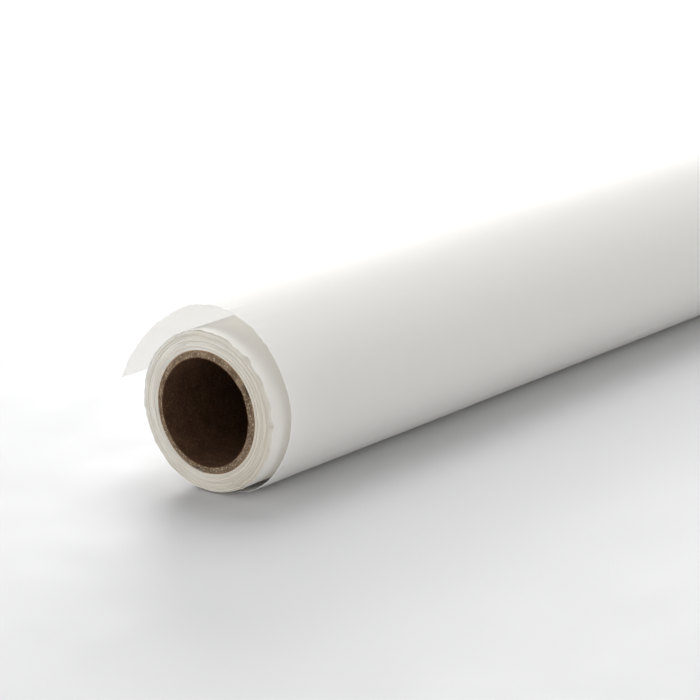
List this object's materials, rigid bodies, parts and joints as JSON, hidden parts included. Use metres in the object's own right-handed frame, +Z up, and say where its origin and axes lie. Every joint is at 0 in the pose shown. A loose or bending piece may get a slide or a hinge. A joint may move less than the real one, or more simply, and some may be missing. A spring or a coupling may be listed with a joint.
{
  "type": "backdrop paper roll",
  "caption": "Roll of seamless white backdrop paper on a spiral-wound cardboard core, with the outer turn slipped along the roll and sprung loose into a free tail.",
  "frame": {"origin": "on the axis of the core bore, at half the core's length", "axes": "+X along the roll, from the end seen in the picture to the far end; +Z up; -Y the front, where the loose turn rises from the floor"},
  "size_m": [1.361, 0.1111, 0.0969],
  "materials": {
    "paper": "matte",
    "core_liner": "matte",
    "core_board": "matte",
    "core_skin": "matte",
    "tape": "matte"
  },
  "bodies": {
    "roll": {"core_inner_liner": "core_liner", "core_body_ply_1": "core_board", "core_body_ply_2": "core_board", "core_body_ply_3": "core_board", "core_body_ply_4": "core_board", "core_body_ply_5": "core_board", "core_outer_liner": "core_skin", "start_tape": "tape", "wound_paper": "paper"},
    "outer_turn_foot": {"seated_turn": "paper", "web_foot": "paper"},
    "loose_bend_01": {"loose_strip_01": "paper"},
    "loose_bend_02": {"loose_strip_02": "paper"},
    "loose_bend_03": {"loose_strip_03": "paper"},
    "loose_bend_04": {"loose_strip_04": "paper"},
    "loose_bend_05": {"loose_strip_05": "paper"},
    "loose_bend_06": {"loose_strip_06": "paper"},
    "loose_bend_07": {"loose_strip_07": "paper"},
    "loose_bend_08": {"loose_strip_08": "paper"},
    "loose_bend_09": {"loose_strip_09": "paper"},
    "loose_bend_10": {"loose_strip_10": "paper"},
    "loose_bend_11": {"loose_strip_11": "paper"},
    "loose_bend_12": {"loose_strip_12": "paper"},
    "loose_bend_13": {"loose_strip_13": "paper"},
    "loose_bend_14": {"loose_strip_14": "paper"},
    "loose_bend_15": {"loose_strip_15": "paper"},
    "tail_bend_1": {"tail_strip_1": "paper"},
    "tail_bend_2": {"tail_strip_2": "paper"},
    "tail_bend_3": {"tail_strip_3": "paper"},
    "tail_bend_4": {"tail_strip_4": "paper"},
    "tail_bend_5": {"tail_strip_5": "paper"}
  },
  "joints": [
    {"name": "outer_turn_telescope", "type": "slide", "parent": "roll", "child": "outer_turn_foot", "axis": [1, 0, 0], "range_m": [-0.01, 0.025]},
    {"name": "web_uncurl", "type": "hinge", "parent": "outer_turn_foot", "child": "loose_bend_01", "pos_m": [0, -0.01692, -0.04178], "axis": [1, 0, 0], "range_deg": [-1, 22.16], "stiffness_Nm_per_rad": 0.25, "springref_deg": 1.04},
    {"name": "web_uncurl_02", "type": "hinge", "parent": "loose_bend_01", "child": "loose_bend_02", "pos_m": [0, -0.02683, -0.03735], "axis": [1, 0, 0], "range_deg": [-0.72, 15.84], "stiffness_Nm_per_rad": 0.25, "springref_deg": 2.91},
    {"name": "web_uncurl_03", "type": "hinge", "parent": "loose_bend_02", "child": "loose_bend_03", "pos_m": [0, -0.03503, -0.03015], "axis": [1, 0, 0], "range_deg": [-0.48, 10.6], "stiffness_Nm_per_rad": 0.25, "springref_deg": 4.49},
    {"name": "web_uncurl_04", "type": "hinge", "parent": "loose_bend_03", "child": "loose_bend_04", "pos_m": [0, -0.04162, -0.02146], "axis": [1, 0, 0], "range_deg": [-0.52, 11.43], "stiffness_Nm_per_rad": 0.25, "springref_deg": 5.67},
    {"name": "web_uncurl_05", "type": "hinge", "parent": "loose_bend_04", "child": "loose_bend_05", "pos_m": [0, -0.04618, -0.01155], "axis": [1, 0, 0], "range_deg": [-0.58, 12.8], "stiffness_Nm_per_rad": 0.25, "springref_deg": 6.44},
    {"name": "web_uncurl_06", "type": "hinge", "parent": "loose_bend_05", "child": "loose_bend_06", "pos_m": [0, -0.04823, -0.00085], "axis": [1, 0, 0], "range_deg": [-0.58, 12.8], "stiffness_Nm_per_rad": 0.25, "springref_deg": 6.8},
    {"name": "web_uncurl_07", "type": "hinge", "parent": "loose_bend_06", "child": "loose_bend_07", "pos_m": [0, -0.04765, 0.01004], "axis": [1, 0, 0], "range_deg": [-0.58, 12.8], "stiffness_Nm_per_rad": 0.25, "springref_deg": 6.79},
    {"name": "web_uncurl_08", "type": "hinge", "parent": "loose_bend_07", "child": "loose_bend_08", "pos_m": [0, -0.04448, 0.02048], "axis": [1, 0, 0], "range_deg": [-0.48, 10.55], "stiffness_Nm_per_rad": 0.25, "springref_deg": 6.45},
    {"name": "web_uncurl_09", "type": "hinge", "parent": "loose_bend_08", "child": "loose_bend_09", "pos_m": [0, -0.03928, 0.03007], "axis": [1, 0, 0], "range_deg": [-0.45, 9.94], "stiffness_Nm_per_rad": 0.25, "springref_deg": 5.9},
    {"name": "web_uncurl_10", "type": "hinge", "parent": "loose_bend_09", "child": "loose_bend_10", "pos_m": [0, -0.03238, 0.03852], "axis": [1, 0, 0], "range_deg": [-0.45, 9.94], "stiffness_Nm_per_rad": 0.25, "springref_deg": 5.2},
    {"name": "web_uncurl_11", "type": "hinge", "parent": "loose_bend_10", "child": "loose_bend_11", "pos_m": [0, -0.02401, 0.04553], "axis": [1, 0, 0], "range_deg": [-0.46, 10.13], "stiffness_Nm_per_rad": 0.25, "springref_deg": 4.41},
    {"name": "web_uncurl_12", "type": "hinge", "parent": "loose_bend_11", "child": "loose_bend_12", "pos_m": [0, -0.01444, 0.05076], "axis": [1, 0, 0], "range_deg": [-0.56, 12.39], "stiffness_Nm_per_rad": 0.25, "springref_deg": 3.59},
    {"name": "web_uncurl_13", "type": "hinge", "parent": "loose_bend_12", "child": "loose_bend_13", "pos_m": [0, -0.00393, 0.05367], "axis": [1, 0, 0], "range_deg": [-0.56, 12.39], "stiffness_Nm_per_rad": 0.25, "springref_deg": 2.78},
    {"name": "web_uncurl_14", "type": "hinge", "parent": "loose_bend_13", "child": "loose_bend_14", "pos_m": [0, 0.00697, 0.05405], "axis": [1, 0, 0], "range_deg": [-0.56, 12.39], "stiffness_Nm_per_rad": 0.25, "springref_deg": 2.03},
    {"name": "web_uncurl_15", "type": "hinge", "parent": "loose_bend_14", "child": "loose_bend_15", "pos_m": [0, 0.01765, 0.05189], "axis": [1, 0, 0], "range_deg": [-0.56, 12.39], "stiffness_Nm_per_rad": 0.25, "springref_deg": 1.4},
    {"name": "tail_lift", "type": "hinge", "parent": "loose_bend_15", "child": "tail_bend_1", "pos_m": [0, 0.02754, 0.04729], "axis": [1, 0, 0], "range_deg": [-7, 12], "stiffness_Nm_per_rad": 0.25, "springref_deg": 0.89},
    {"name": "tail_lift_2", "type": "hinge", "parent": "tail_bend_1", "child": "tail_bend_2", "pos_m": [0, 0.03633, 0.0408], "axis": [1, 0, 0], "range_deg": [-7, 12], "stiffness_Nm_per_rad": 0.25, "springref_deg": 0.53},
    {"name": "tail_lift_3", "type": "hinge", "parent": "tail_bend_2", "child": "tail_bend_3", "pos_m": [0, 0.04429, 0.03333], "axis": [1, 0, 0], "range_deg": [-7, 12], "stiffness_Nm_per_rad": 0.25, "springref_deg": 0.28},
    {"name": "tail_lift_4", "type": "hinge", "parent": "tail_bend_3", "child": "tail_bend_4", "pos_m": [0, 0.05136, 0.025], "axis": [1, 0, 0], "range_deg": [-7, 12], "stiffness_Nm_per_rad": 0.25, "springref_deg": 0.11},
    {"name": "tail_lift_5", "type": "hinge", "parent": "tail_bend_4", "child": "tail_bend_5", "pos_m": [0, 0.05743, 0.01592], "axis": [1, 0, 0], "range_deg": [-7, 12], "stiffness_Nm_per_rad": 0.25, "springref_deg": 0.02}
  ],
  "couplings": [
    {"joint": "web_uncurl_02", "follows": "web_uncurl", "ratio": 0.7148},
    {"joint": "web_uncurl_03", "follows": "web_uncurl", "ratio": 0.4784},
    {"joint": "web_uncurl_04", "follows": "web_uncurl", "ratio": 0.5159},
    {"joint": "web_uncurl_05", "follows": "web_uncurl", "ratio": 0.5778},
    {"joint": "web_uncurl_06", "follows": "web_uncurl", "ratio": 0.5778},
    {"joint": "web_uncurl_07", "follows": "web_uncurl", "ratio": 0.5778},
    {"joint": "web_uncurl_08", "follows": "web_uncurl", "ratio": 0.4763},
    {"joint": "web_uncurl_09", "follows": "web_uncurl", "ratio": 0.4483},
    {"joint": "web_uncurl_10", "follows": "web_uncurl", "ratio": 0.4483},
    {"joint": "web_uncurl_11", "follows": "web_uncurl", "ratio": 0.457},
    {"joint": "web_uncurl_12", "follows": "web_uncurl", "ratio": 0.5591},
    {"joint": "web_uncurl_13", "follows": "web_uncurl", "ratio": 0.5591},
    {"joint": "web_uncurl_14", "follows": "web_uncurl", "ratio": 0.5591},
    {"joint": "web_uncurl_15", "follows": "web_uncurl", "ratio": 0.5591},
    {"joint": "tail_lift_2", "follows": "tail_lift", "ratio": 1},
    {"joint": "tail_lift_3", "follows": "tail_lift", "ratio": 1},
    {"joint": "tail_lift_4", "follows": "tail_lift", "ratio": 1},
    {"joint": "tail_lift_5", "follows": "tail_lift", "ratio": 1}
  ]
}
